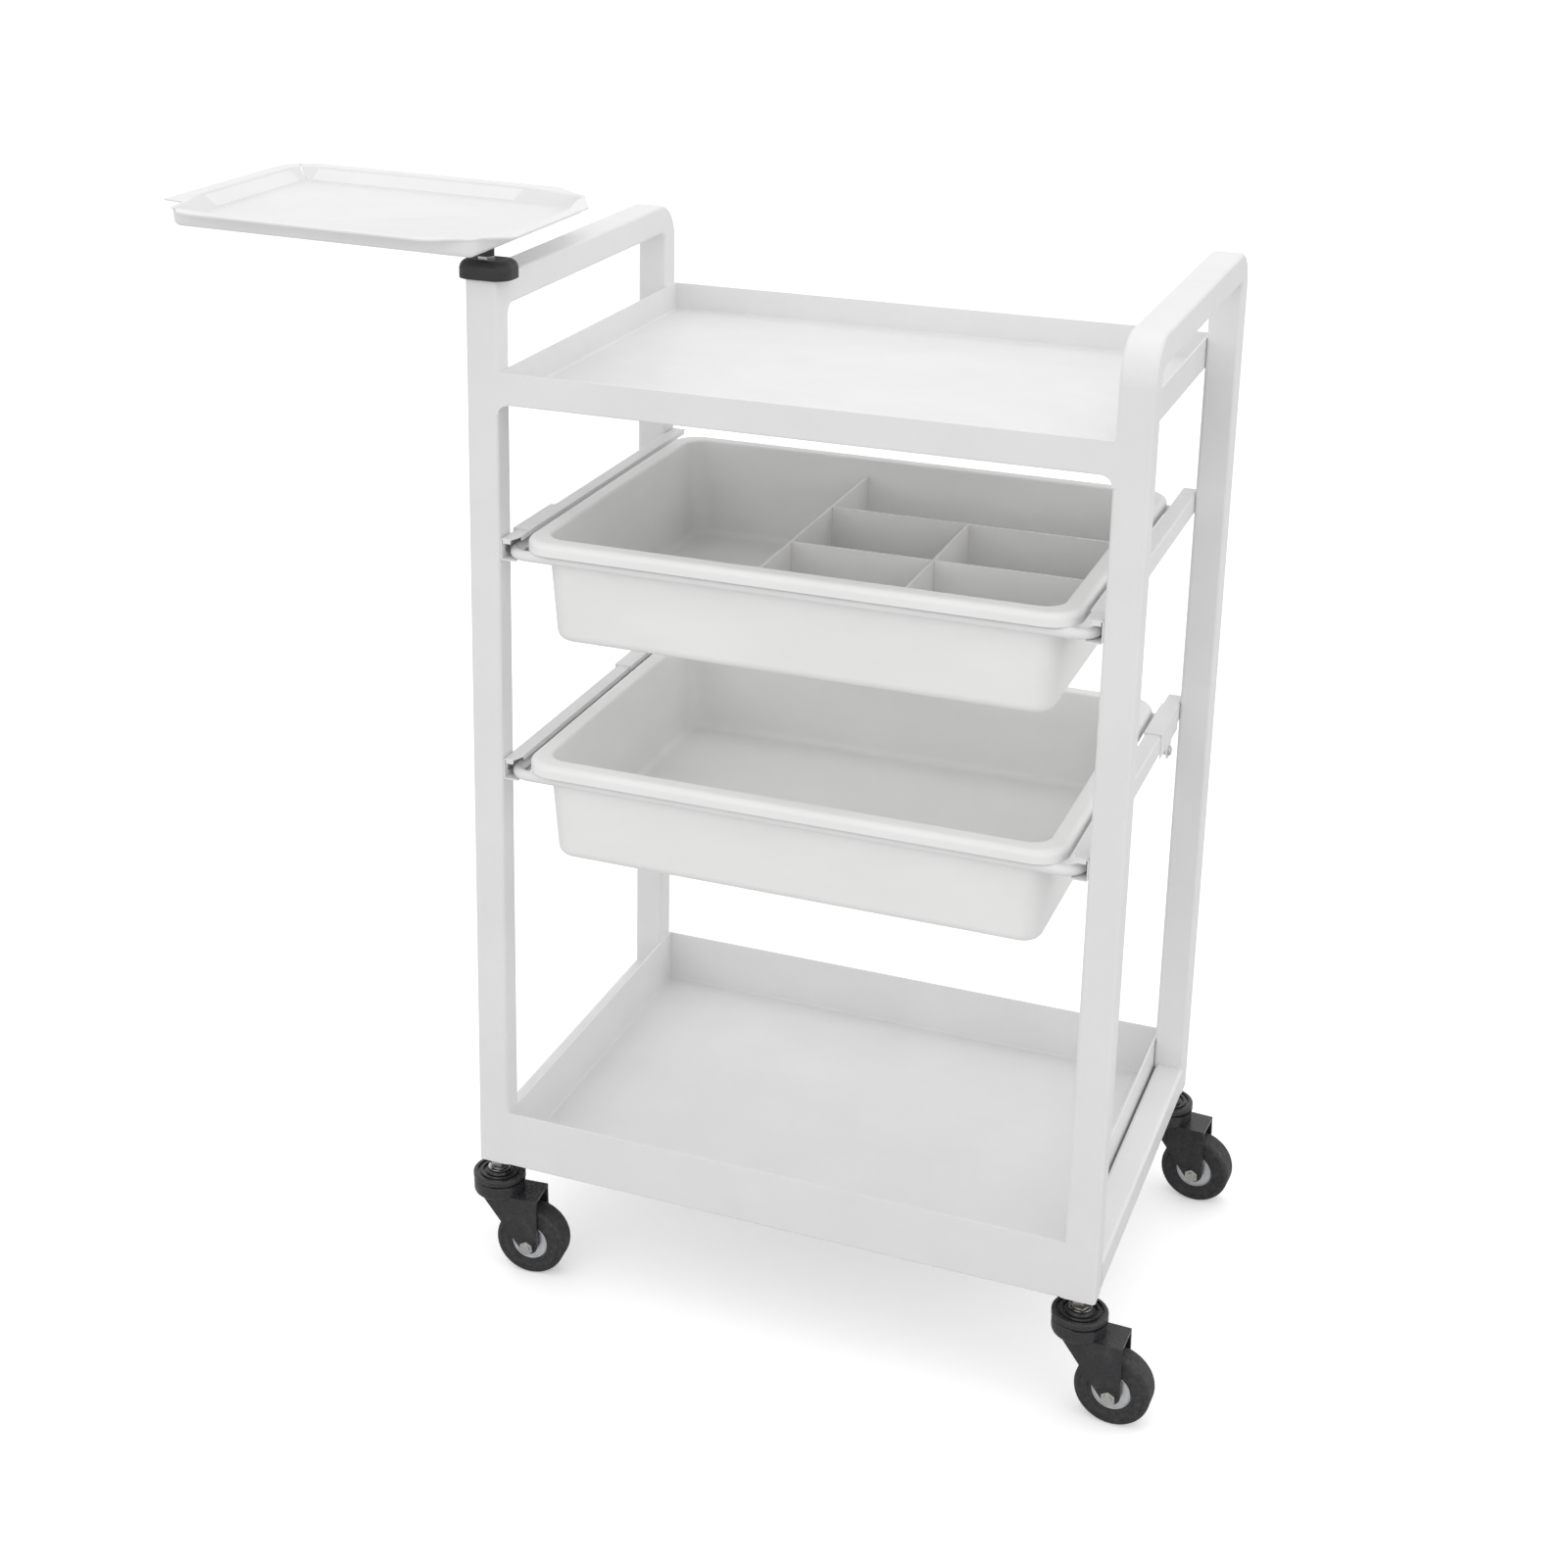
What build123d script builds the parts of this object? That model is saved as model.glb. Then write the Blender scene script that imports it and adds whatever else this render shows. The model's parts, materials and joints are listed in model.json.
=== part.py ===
from build123d import *
import os
from math import cos, radians, sin

# Rolling salon trolley: two inverted-U side frames joined by a shallow top tray and a deeper
# bottom tray, two lift-out bins on sliding bar carriers, a swivelling instrument tray on the
# left front corner, and four swivel casters. Millimetres, +Z up, front of the trolley at -Y.
# Pieces are built about the middle of the frame on the floor; export_piece moves them so that
# the origin is the middle of the whole footprint, outrigger tray and casters included.

frame_offset_x = 100.8
frame_offset_y = 18.7

# Side frames
frame_width = 500.0
frame_depth = 340.0
leg_x = 25.0
leg_y = 21.0
tube_wall = 1.5
tube_round = 3.0
foot_z = 97.0
handle_top_z = 819.0
handle_bar = 24.0
handle_corner = 32.0
capped_corner = 4.0
window_corner = 8.0

# Fixed trays and lower side rails
sheet = 1.5
top_tray_z = (725.0, 749.0)
bottom_tray_z = (97.0, 143.5)
apron_ear = 8.0
rail_gap = 2.0
rail_height = 24.0

# Drawer runners, one pair per level; each level is the underside of its runners
runner_levels = {"upper": 606.2, "lower": 430.8}
runner_height = 17.0
runner_depth = 12.0
runner_sheet = 1.0
runner_front_y = -168.0
runner_rear_y = 175.0
runner_dome = 12.0
runner_lip = 4.0
runner_bend = 2.0
runner_cut = 4.0
rivet_radius = 2.0

# Saddle clips on the runners: the y of the front edge of each
clip_front_y = {
    "upper_left": -144.5,
    "upper_right": -151.0,
    "lower_left": 46.0,
    "lower_right": 74.0,
}
clip_length = 66.0
clip_screw_drop = 8.0

# Bar carriers and the bins that hang in them
bar_radius = 4.0
carrier_x = 218.5
carrier_y = (-166.5, 138.5)
carrier_corner = 14.0
bin_rim = (416.0, 320.0)
bin_mouth = (391.0, 295.0)
bin_base = (379.0, 285.0)
bin_center_y = -14.0
bin_height = 82.0
bin_wall = 2.2
rim_drop = 10.0
rim_skin = 2.5
rim_round = 5.0
rim_inside_round = 1.8
rim_rib_x = (-165.0, -55.0, 55.0, 165.0)

# Dividers in the upper bin
divider_sheet = 2.0
divider_below_rim = 14.0
main_divider_x = -38.0
short_divider_x = 73.0
rear_divider_y = 40.0
front_divider_y = -55.0

# Swivelling instrument tray, on a stud above the left front leg
stud_x = -237.5
stud_y = -159.5
stud_radius = 3.5
boss_end = 1.2
pan_x = (-474.0, -230.0)
pan_y = (-193.0, -11.0)
pan_z = (838.0, 852.0)
pan_sheet = 1.2
pan_inside_round = 5.0
flange_x = (-497.0, -207.0)
flange_y = (-218.0, 14.0)
cap_x = (-257.0, -215.5)
cap_y = (-173.5, -142.5)
cap_z = (816.5, 830.0)

# Casters, under the four legs; each trails towards +X, turned by its own heading in degrees
caster_headings = {
    "front_left": 5.0,
    "front_right": -2.0,
    "rear_left": 3.0,
    "rear_right": -4.0,
}
wheel_radius = 28.5
wheel_width = 21.0
wheel_trail = 29.0
tyre_shoulder = 3.5
hub_radius = 15.0
axle_radius = 3.0
stem_radius = 5.0
race_radius = 21.0
race_z = (79.0, 84.5)
fork_top_z = 69.0
fork_sheet = 2.5
fork_half_width = 14.5

running_gap = 0.05
fit_gap = 0.1

leg_inner_x = frame_width / 2 - leg_x
half_depth = frame_depth / 2
leg_center_x = frame_width / 2 - leg_x / 2
leg_center_y = half_depth - leg_y / 2


def block(x_span, y_span, z_span):
    """Box between two limits on each axis."""
    size = (x_span[1] - x_span[0], y_span[1] - y_span[0], z_span[1] - z_span[0])
    middle = (sum(x_span) / 2, sum(y_span) / 2, sum(z_span) / 2)
    return Pos(*middle) * Box(*size)


def rod(radius, start, end):
    """Round bar from one point to another."""
    axis = Vector(*end) - Vector(*start)
    return extrude(Plane(start, z_dir=axis) * Circle(radius), axis.length)


def hex_nut(across_flats, radius, start, end):
    """Hexagonal nut with a round bore, between two points on its axis."""
    axis = Vector(*end) - Vector(*start)
    outline = RegularPolygon(across_flats / 2, 6, major_radius=False) - Circle(radius)
    return extrude(Plane(start, z_dir=axis) * outline, axis.length)


def rounded_slab(size, corner, z_span, center_y=0.0):
    """Upright slab with a rounded-rectangle plan."""
    plan = Pos(0, center_y, z_span[0]) * RectangleRounded(*size, corner)
    return extrude(plan, z_span[1] - z_span[0])


def on_left(shape):
    """The same shape on the other side of the trolley."""
    return mirror(shape, about=Plane.YZ)


def arch(half_y, top_z, corners, x_span, bottom_z):
    """Slab across X with a flat foot and rounded top corners, the front one given first."""
    slab = block(x_span, (-half_y, half_y), (bottom_z, top_z))
    for side, corner in zip((-half_y, half_y), corners):
        for edge in slab.edges().filter_by(Axis.X).filter_by_position(Axis.Z, top_z, top_z):
            if abs(edge.center().Y - side) < 0.01:
                slab = fillet(edge, corner)
    return slab


# ---------------------------------------------------------------- frame and trays


def side_frame(front_corner):
    """Right-hand frame: two legs and the handle, one bent tube, open at both feet."""
    outside_x = frame_width / 2
    window_y = half_depth - leg_y
    window_top = handle_top_z - handle_bar
    corners = (front_corner, handle_corner)
    outer = arch(half_depth, handle_top_z, corners, (leg_inner_x, outside_x), foot_z)
    window_corners = (window_corner, window_corner)
    window = arch(window_y, window_top, window_corners, (leg_inner_x - 1, outside_x + 1), foot_z - 1)
    tube = outer - window
    long_edges = [
        edge
        for edge in tube.edges()
        if abs(edge.center().X - leg_center_x) > leg_x / 2 - 0.1 and edge.center().Z > foot_z + 1
    ]
    tube = fillet(long_edges, tube_round)
    bore_x = (leg_inner_x + tube_wall, outside_x - tube_wall)
    bore_corners = [corner - tube_wall for corner in corners]
    bore = arch(half_depth - tube_wall, handle_top_z - tube_wall, bore_corners, bore_x, foot_z - 1)
    core_corners = [corner + tube_wall for corner in window_corners]
    core = arch(window_y + tube_wall, window_top + tube_wall, core_corners, bore_x, foot_z - 2)
    tube -= bore - core
    for level in runner_levels.values():
        for y in (-leg_center_y, leg_center_y):
            start = (leg_inner_x - 1, y, level + runner_height / 2)
            tube -= rod(rivet_radius + fit_gap, start, (leg_inner_x + 4, y, start[2]))
    return tube


def side_frame_with_stud_hole():
    """Left-hand frame, square at the front corner under the cap and drilled for the tray's stud."""
    drill = rod(stud_radius + fit_gap, (stud_x, stud_y, 780), (stud_x, stud_y, handle_top_z + 5))
    return on_left(side_frame(capped_corner)) - drill


def lower_side_rail():
    """Tube between the feet of one side frame, set off from the bottom tray by a narrow gap."""
    x_span = (leg_inner_x + rail_gap, frame_width / 2)
    y_span = (-half_depth + leg_y, half_depth - leg_y)
    rail = block(x_span, y_span, (foot_z, foot_z + rail_height))
    rail = fillet(rail.edges().filter_by(Axis.Y), tube_round)
    bore = block(
        (x_span[0] + tube_wall, x_span[1] - tube_wall),
        (y_span[0] - 1, y_span[1] + 1),
        (foot_z + tube_wall, foot_z + rail_height - tube_wall),
    )
    return rail - bore


def fixed_tray(z_span):
    """Folded sheet pan that fills the space between the side frames."""
    outer = block((-leg_inner_x, leg_inner_x), (-half_depth, half_depth), z_span)
    outer = fillet(outer.faces().sort_by(Axis.Z)[0].edges().filter_by(Axis.X), sheet)
    inner = block(
        (-leg_inner_x + sheet, leg_inner_x - sheet),
        (-half_depth + sheet, half_depth - sheet),
        (z_span[0] + sheet, z_span[1] + 1),
    )
    inner = fillet(inner.faces().sort_by(Axis.Z)[0].edges(), sheet)
    return outer - inner


def apron_ears():
    """Small hollow-curved webs where the top tray's aprons meet the legs."""
    plane = Plane((leg_inner_x - apron_ear, 0, top_tray_z[0] - apron_ear), x_dir=(1, 0, 0), z_dir=(0, -1, 0))
    size = apron_ear + sheet
    outline = Rectangle(size, size, align=(Align.MIN, Align.MIN)) - Circle(apron_ear)
    outline -= Pos(apron_ear, 0) * Rectangle(sheet, size, align=(Align.MIN, Align.MIN))
    ear = extrude(plane * outline, sheet)
    ears = []
    for y in (-half_depth + sheet, half_depth):
        ears.append(Pos(0, y, 0) * ear)
        ears.append(on_left(Pos(0, y, 0) * ear))
    return ears


def top_tray():
    tray = fixed_tray(top_tray_z)
    for ear in apron_ears():
        tray += ear
    return tray


# ---------------------------------------------------------------- drawers


def runner(level):
    """Right-hand C-channel, open towards the bin, with a turned-down front and a domed rear."""
    inside_x = leg_inner_x - runner_depth
    top = level + runner_height
    y_span = (runner_front_y, runner_rear_y)
    bar = block((inside_x, leg_inner_x), y_span, (level, top))
    rear_top = bar.edges().filter_by(Axis.X).group_by(Axis.Y)[-1].sort_by(Axis.Z)[-1]
    bar = fillet(rear_top, runner_dome)
    bar = fillet(bar.edges().filter_by(Axis.Y).group_by(Axis.X)[-1], runner_bend)
    bar -= block(
        (inside_x - 1, leg_inner_x - runner_sheet),
        (y_span[0] - 1, y_span[1] + 1),
        (level + runner_sheet, top - runner_sheet),
    )
    cut_x = inside_x + runner_cut
    cut_y = runner_front_y + 3 * runner_cut
    outside = (inside_x - 1, runner_front_y - 1)
    cut = Polyline((inside_x - 1, cut_y), outside, (cut_x, runner_front_y - 1), close=True)
    bar -= extrude(Pos(0, 0, top - 3) * make_face(cut), 4)
    stop_y = (runner_front_y, runner_front_y + runner_sheet)
    bar += block((cut_x, leg_inner_x - runner_bend), stop_y, (top - runner_lip, top))
    lip_y = (cut_y, runner_rear_y - runner_dome)
    bar += block((inside_x, inside_x + runner_sheet), lip_y, (top - runner_lip, top))
    for y in (-leg_center_y, leg_center_y):
        start = (inside_x, y, level + runner_height / 2)
        bar -= rod(rivet_radius + fit_gap, start, (leg_inner_x + 1, y, start[2]))
    return bar


def runner_rivets():
    """Two pan-head rivets for each runner, heads inside the channel."""
    rivets = []
    for level in runner_levels.values():
        for y in (-leg_center_y, leg_center_y):
            z = level + runner_height / 2
            web_x = leg_inner_x - runner_sheet
            shank = rod(rivet_radius, (web_x - 0.5, y, z), (leg_inner_x + 3, y, z))
            rivet = shank + rod(2 * rivet_radius, (web_x - 0.8, y, z), (web_x - 0.02, y, z))
            rivets += [rivet, on_left(rivet)]
    return Compound(rivets)


def clip_screw_place(name):
    """Centre of the screw in the tab of one saddle clip, on the right-hand side."""
    y = clip_front_y[name] + clip_length / 2
    z = runner_levels[name.split("_")[0]] - clip_screw_drop
    return y, z


def runner_clip(name):
    """Right-hand saddle over a runner, with a tapered tab that hangs on the outside."""
    level = runner_levels[name.split("_")[0]]
    top = level + runner_height
    front = clip_front_y[name]
    y_span = (front, front + clip_length)
    side_y = (max(front, -half_depth + leg_y + fit_gap), y_span[1])
    inside_x = leg_inner_x - runner_depth - 1
    saddle = block((inside_x, leg_inner_x), y_span, (top + 0.02, top + 1))
    saddle += block((leg_inner_x - 1, leg_inner_x + 1), side_y, (top + 0.02, top + 1))
    lip = block((inside_x, inside_x + 0.98), y_span, (top - 3, top + 1))
    side = block((leg_inner_x + 0.02, leg_inner_x + 1), side_y, (level - 2, top + 1))
    y, z = clip_screw_place(name)
    tab_plane = Plane((leg_inner_x + 0.02, y, level), x_dir=(0, 1, 0), z_dir=(1, 0, 0))
    shoulders = Pos(0, 2) * Rectangle(24, 4)
    tip = Pos(0, -clip_screw_drop) * Circle(6.5)
    tab = extrude(tab_plane * make_hull((shoulders.edges() + tip.edges())), 0.98)
    hole = rod(rivet_radius + fit_gap, (leg_inner_x - 1, y, z), (leg_inner_x + 2, y, z))
    return saddle + lip + side + tab - hole


def clip_screws():
    """Pan-head screw through the tab of each saddle clip."""
    screws = []
    for name in clip_front_y:
        y, z = clip_screw_place(name)
        head = rod(4.0, (leg_inner_x + 1.02, y, z), (leg_inner_x + 3.2, y, z))
        head = fillet(head.edges().sort_by(Axis.X)[-1], 1.5)
        screw = head + rod(rivet_radius, (leg_inner_x - 5, y, z), (leg_inner_x + 1.1, y, z))
        screws.append(on_left(screw) if name.endswith("left") else screw)
    return Compound(screws)


def clip_nuts():
    """Nut behind the tab of each saddle clip."""
    nuts = []
    for name in clip_front_y:
        y, z = clip_screw_place(name)
        nut = hex_nut(7.0, rivet_radius + fit_gap, (leg_inner_x - 3.2, y, z), (leg_inner_x, y, z))
        nuts.append(on_left(nut) if name.endswith("left") else nut)
    return Compound(nuts)


def bar_center_z(level):
    """Height of a carrier's bars: resting just above the lower flange of the runner."""
    return level + runner_sheet + fit_gap + bar_radius


def carrier(level):
    """Closed rectangle of round bar with bent corners; its sides ride in the runners."""
    depth = carrier_y[1] - carrier_y[0]
    outline = RectangleRounded(2 * carrier_x, depth, carrier_corner)
    path = Pos(0, sum(carrier_y) / 2, bar_center_z(level)) * outline
    wire = path.wires()[0]
    section = Plane(wire @ 0, z_dir=wire % 0) * Circle(bar_radius)
    return sweep(section, path=wire)


def bin_top_z(level):
    """Height of the bin's rim: its lower edge lies just above the carrier's bars."""
    return bar_center_z(level) + bar_radius + running_gap + rim_drop


def bin_space(level, shrink):
    """Tapered space inside a bin, drawn in by shrink on every side."""
    top = bin_top_z(level)
    wall = 2 * (bin_wall + shrink)
    mouth = Pos(0, bin_center_y, top + 1) * RectangleRounded(bin_mouth[0] - wall, bin_mouth[1] - wall, 16)
    floor_z = top - bin_height + bin_wall + shrink
    floor = Pos(0, bin_center_y, floor_z) * RectangleRounded(bin_base[0] - wall, bin_base[1] - wall, 14)
    space = loft([floor.face(), mouth.face()])
    return fillet(space.faces().sort_by(Axis.Z)[0].edges(), 6)


def storage_bin(level):
    """Moulded bin: tapered body, and a rounded hollow rim whose ribs rest on the carrier."""
    top = bin_top_z(level)
    base = Pos(0, bin_center_y, top - bin_height) * RectangleRounded(*bin_base, 16)
    mouth = Pos(0, bin_center_y, top) * RectangleRounded(*bin_mouth, 18)
    body = loft([base.face(), mouth.face()])
    body = fillet(body.faces().sort_by(Axis.Z)[0].edges(), 8)
    rim = rounded_slab(bin_rim, 24, (top - rim_drop, top), bin_center_y)
    rim = fillet(rim.faces().sort_by(Axis.Z)[-1].edges(), rim_round)
    hollow_size = (bin_rim[0] - 4, bin_rim[1] - 4)
    hollow = rounded_slab(hollow_size, 22, (top - rim_drop - 1, top - rim_skin), bin_center_y)
    rim = rim - hollow
    for x in rim_rib_x:
        rim += block(
            (x - 1, x + 1),
            (bin_center_y - bin_rim[1] / 2 + 1, bin_center_y + bin_rim[1] / 2 - 1),
            (top - rim_drop, top - rim_skin),
        )
    shell = rim + body - bin_space(level, 0.0)
    mouth_edges = shell.faces().filter_by(Axis.Z).sort_by(Axis.Z)[-1].inner_wires()[0].edges()
    return fillet(mouth_edges, rim_inside_round)


def divider_plate(x_span, y_span):
    """Upright plate inside the upper bin, cut to the bin's tapered inside."""
    level = runner_levels["upper"]
    top = bin_top_z(level)
    plate = block(x_span, y_span, (top - bin_height, top - divider_below_rim))
    return plate & bin_space(level, 0.3)


def thickness(middle):
    """Limits of a divider sheet about its middle."""
    return (middle - divider_sheet / 2, middle + divider_sheet / 2)


def main_divider():
    return divider_plate(thickness(main_divider_x), (-frame_depth, frame_depth))


def rear_cross_divider():
    start = main_divider_x + divider_sheet / 2 + fit_gap
    return divider_plate((start, frame_width), thickness(rear_divider_y))


def lap_height():
    """Height at which the two crossing dividers' slots meet."""
    return bin_top_z(runner_levels["upper"]) - (bin_height + divider_below_rim) / 2


def front_cross_divider():
    """Slotted from above where the short divider crosses it."""
    start = main_divider_x + divider_sheet / 2 + fit_gap
    plate = divider_plate((start, frame_width), thickness(front_divider_y))
    slot = divider_sheet / 2 + fit_gap
    return plate - block(
        (short_divider_x - slot, short_divider_x + slot),
        (front_divider_y - 5, front_divider_y + 5),
        (lap_height(), handle_top_z),
    )


def short_divider():
    """Slotted from below over the front cross divider."""
    end = rear_divider_y - divider_sheet / 2 - fit_gap
    plate = divider_plate(thickness(short_divider_x), (-frame_depth, end))
    slot = divider_sheet / 2 + fit_gap
    return plate - block(
        (short_divider_x - 5, short_divider_x + 5),
        (front_divider_y - slot, front_divider_y + slot),
        (0, lap_height() + fit_gap),
    )


# ---------------------------------------------------------------- swivelling instrument tray


def swivel_cap():
    """Rounded block that sits over the front corner of the left handle."""
    cap = block(cap_x, cap_y, cap_z)
    cap = fillet(cap.edges().filter_by(Axis.Z), 12)
    cap = fillet(cap.faces().sort_by(Axis.Z)[-1].edges(), 7)
    gap = fit_gap
    saddle_corners = (capped_corner + gap, handle_corner + gap)
    saddle_x = (-frame_width / 2 - gap, -leg_inner_x + gap)
    saddle = arch(half_depth + gap, handle_top_z + gap, saddle_corners, saddle_x, foot_z)
    bore = rod(stud_radius + running_gap, (stud_x, stud_y, 780), (stud_x, stud_y, 840))
    return cap - saddle - bore


def swivel_stud():
    """Upright stud: through the handle corner and the cap, into the sleeve under the pan."""
    return rod(stud_radius, (stud_x, stud_y, 798), (stud_x, stud_y, pan_z[0] - boss_end))


def stud_lock_nut():
    start = (stud_x, stud_y, cap_z[1] + 0.02)
    return hex_nut(12.0, stud_radius + running_gap, start, (stud_x, stud_y, cap_z[1] + 2.4))


def tray_boss():
    """Blind sleeve under the pan, turning on the stud."""
    bottom = cap_z[1] + 2.7
    sleeve = rod(6.0, (stud_x, stud_y, bottom), (stud_x, stud_y, pan_z[0] - 0.02))
    bore_top = (stud_x, stud_y, pan_z[0] - boss_end + fit_gap)
    return sleeve - rod(stud_radius + running_gap, (stud_x, stud_y, bottom - 1), bore_top)


def flange_outline():
    """Plan of the pan's flange: cut corners at the left front and right rear, a round front tongue."""
    left, right = flange_x
    front, rear = flange_y
    outline = Polyline(
        (left, pan_y[0] + 20),
        (left + 11, pan_y[0] + 20),
        (pan_x[0] + 20, front),
        (pan_x[1] - 5, front),
        (pan_x[1] - 5, pan_y[0] + 4),
        (pan_x[1] - 1, pan_y[0] + 6),
        (right + 2, pan_y[0] - 10),
        (right, pan_y[0] + 4),
        (right, pan_y[1] - 35),
        (pan_x[1] - 16, rear - 4),
        (pan_x[1] - 24, rear),
        (left, rear),
        close=True,
    )
    plan = make_face(outline)
    tongue = plan.vertices().group_by(Axis.Y)[0].sort_by(Axis.X)[-1]
    return fillet(tongue, 15)


def instrument_tray():
    """Shallow pan with a wide flat flange, notched at the right front and slit at the left rear."""
    outer = block(pan_x, pan_y, pan_z)
    outer = fillet(outer.edges().filter_by(Axis.Z), 6)
    outer = fillet(outer.faces().sort_by(Axis.Z)[0].edges(), pan_inside_round)
    inner = block(
        (pan_x[0] + pan_sheet, pan_x[1] - pan_sheet),
        (pan_y[0] + pan_sheet, pan_y[1] - pan_sheet),
        (pan_z[0] + pan_sheet, pan_z[1] + 1),
    )
    inner = fillet(inner.edges().filter_by(Axis.Z), 5)
    inner = fillet(inner.faces().sort_by(Axis.Z)[0].edges(), pan_inside_round - pan_sheet)
    flange_z = pan_z[1] - pan_sheet
    flange = extrude(Pos(0, 0, flange_z) * flange_outline(), pan_sheet)
    slit_corner = (pan_x[0] + 4, pan_y[1] - 4, pan_z[1])
    slit = Pos(*slit_corner) * Rot(0, 0, 45) * Pos(0, 45, 0) * Box(1.5, 90, 4)
    return outer + (flange - slit) - inner


# ---------------------------------------------------------------- casters, about the swivel axis


def leg_plugs():
    """Plastic plug in each foot, bored for a caster stem."""
    plugs = []
    for x in (-leg_center_x, leg_center_x):
        for y in (-leg_center_y, leg_center_y):
            half_x = leg_x / 2 - tube_wall - fit_gap
            half_y = leg_y / 2 - tube_wall - fit_gap
            plug = block((-half_x, half_x), (-half_y, half_y), (foot_z, foot_z + 26))
            plug -= rod(stem_radius + running_gap, (0, 0, foot_z - 1), (0, 0, foot_z + 27))
            plugs.append(Pos(x, y, 0) * plug)
    return Compound(plugs)


def caster_stem():
    """Stem with a hexagonal collar under the foot and a riveted lower end."""
    stem = rod(stem_radius, (0, 0, fork_top_z - 5), (0, 0, foot_z + 22))
    collar = extrude(Pos(0, 0, race_z[1] + 4) * RegularPolygon(8, 6), foot_z - race_z[1] - 5)
    washer = rod(9.0, (0, 0, race_z[1] + 0.02), (0, 0, race_z[1] + 3))
    rivet_z = fork_top_z - fork_sheet - 0.3
    rivet = rod(7.5, (0, 0, rivet_z - 2.5), (0, 0, rivet_z))
    return stem + collar + washer + rivet


def caster_race():
    """Upper swivel ring: a shallow dish with two raised rings."""
    ring = rod(race_radius, (0, 0, race_z[0]), (0, 0, race_z[1]))
    ring = fillet(ring.edges(), 1.5)
    groove_z = race_z[1] - 1.5
    for middle in (12.0, 16.5):
        trench = rod(middle + 1.2, (0, 0, groove_z), (0, 0, race_z[1] + 1))
        ring -= trench - rod(middle - 1.2, (0, 0, groove_z), (0, 0, race_z[1] + 1))
    return ring - rod(stem_radius + running_gap, (0, 0, race_z[0] - 1), (0, 0, race_z[1] + 1))


def fork_cheek():
    """Side plate of the fork: wide under the swivel, tapering to the axle."""
    wheel_z = wheel_radius
    top_edge = Pos(13, fork_top_z - 1) * Rectangle(46, 2)
    axle_end = Pos(wheel_trail, wheel_z) * Circle(8)
    plane = Plane((0, fork_half_width, 0), x_dir=(1, 0, 0), z_dir=(0, -1, 0))
    cheek = extrude(plane * make_hull(top_edge.edges() + axle_end.edges()), fork_sheet)
    hole_start = (wheel_trail, fork_half_width + 1, wheel_z)
    hole_end = (wheel_trail, fork_half_width - fork_sheet - 1, wheel_z)
    return cheek - rod(axle_radius + running_gap, hole_start, hole_end)


def caster_fork():
    """Pressed fork: round swivel cup, flat top with a square tail, and two cheeks."""
    cup = extrude(Pos(0, 0, fork_top_z) * Circle(18.5), race_z[0] - 0.3 - fork_top_z, taper=-15)
    plate_z = fork_top_z - fork_sheet
    plate = block((-18, 36), (-fork_half_width, fork_half_width), (plate_z, fork_top_z))
    plate += rod(18.5, (0, 0, plate_z), (0, 0, fork_top_z))
    cheek = fork_cheek()
    fork = cup + plate + cheek + mirror(cheek, about=Plane.XZ)
    return fork - rod(stem_radius + running_gap, (0, 0, plate_z - 1), (0, 0, race_z[1]))


def caster_tyre():
    """Rubber tyre with rounded shoulders."""
    start = (wheel_trail, -wheel_width / 2, wheel_radius)
    end = (wheel_trail, wheel_width / 2, wheel_radius)
    tyre = fillet(rod(wheel_radius, start, end).edges(), tyre_shoulder)
    return tyre - rod(hub_radius + running_gap, start, end)


def caster_hub():
    """Metal hub with a boss on each side that keeps it between the cheeks."""
    half = wheel_width / 2 - 1
    boss = fork_half_width - fork_sheet - 0.3
    z = wheel_radius
    hub = rod(hub_radius, (wheel_trail, -half, z), (wheel_trail, half, z))
    hub += rod(6.0, (wheel_trail, -boss, z), (wheel_trail, boss, z))
    return hub - rod(axle_radius + running_gap, (wheel_trail, -boss, z), (wheel_trail, boss, z))


def axle_bolt():
    """Bolt with its hexagonal head on the far side and its end through the nut."""
    z = wheel_radius
    far = fork_half_width + 0.02
    shank = rod(axle_radius, (wheel_trail, -fork_half_width - 6.5, z), (wheel_trail, far, z))
    head_plane = Plane((wheel_trail, far, z), z_dir=(0, 1, 0))
    return shank + extrude(head_plane * RegularPolygon(5, 6, major_radius=False), 4)


def axle_nut():
    start = (wheel_trail, -fork_half_width - 5, wheel_radius)
    end = (wheel_trail, -fork_half_width - 0.02, wheel_radius)
    return hex_nut(10.0, axle_radius + running_gap, start, end)


def place_caster(corner, shape):
    """Move a caster piece from the swivel axis to its leg, turned to its heading."""
    x = leg_center_x if corner.endswith("right") else -leg_center_x
    y = leg_center_y if corner.startswith("rear") else -leg_center_y
    return Pos(x, y, 0) * Rot(0, 0, caster_headings[corner]) * shape


# ---------------------------------------------------------------- export


def export_piece(name, shape):
    moved = Pos(frame_offset_x, frame_offset_y, 0) * shape
    export_step(moved, f"parts/{name}.step")


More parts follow.
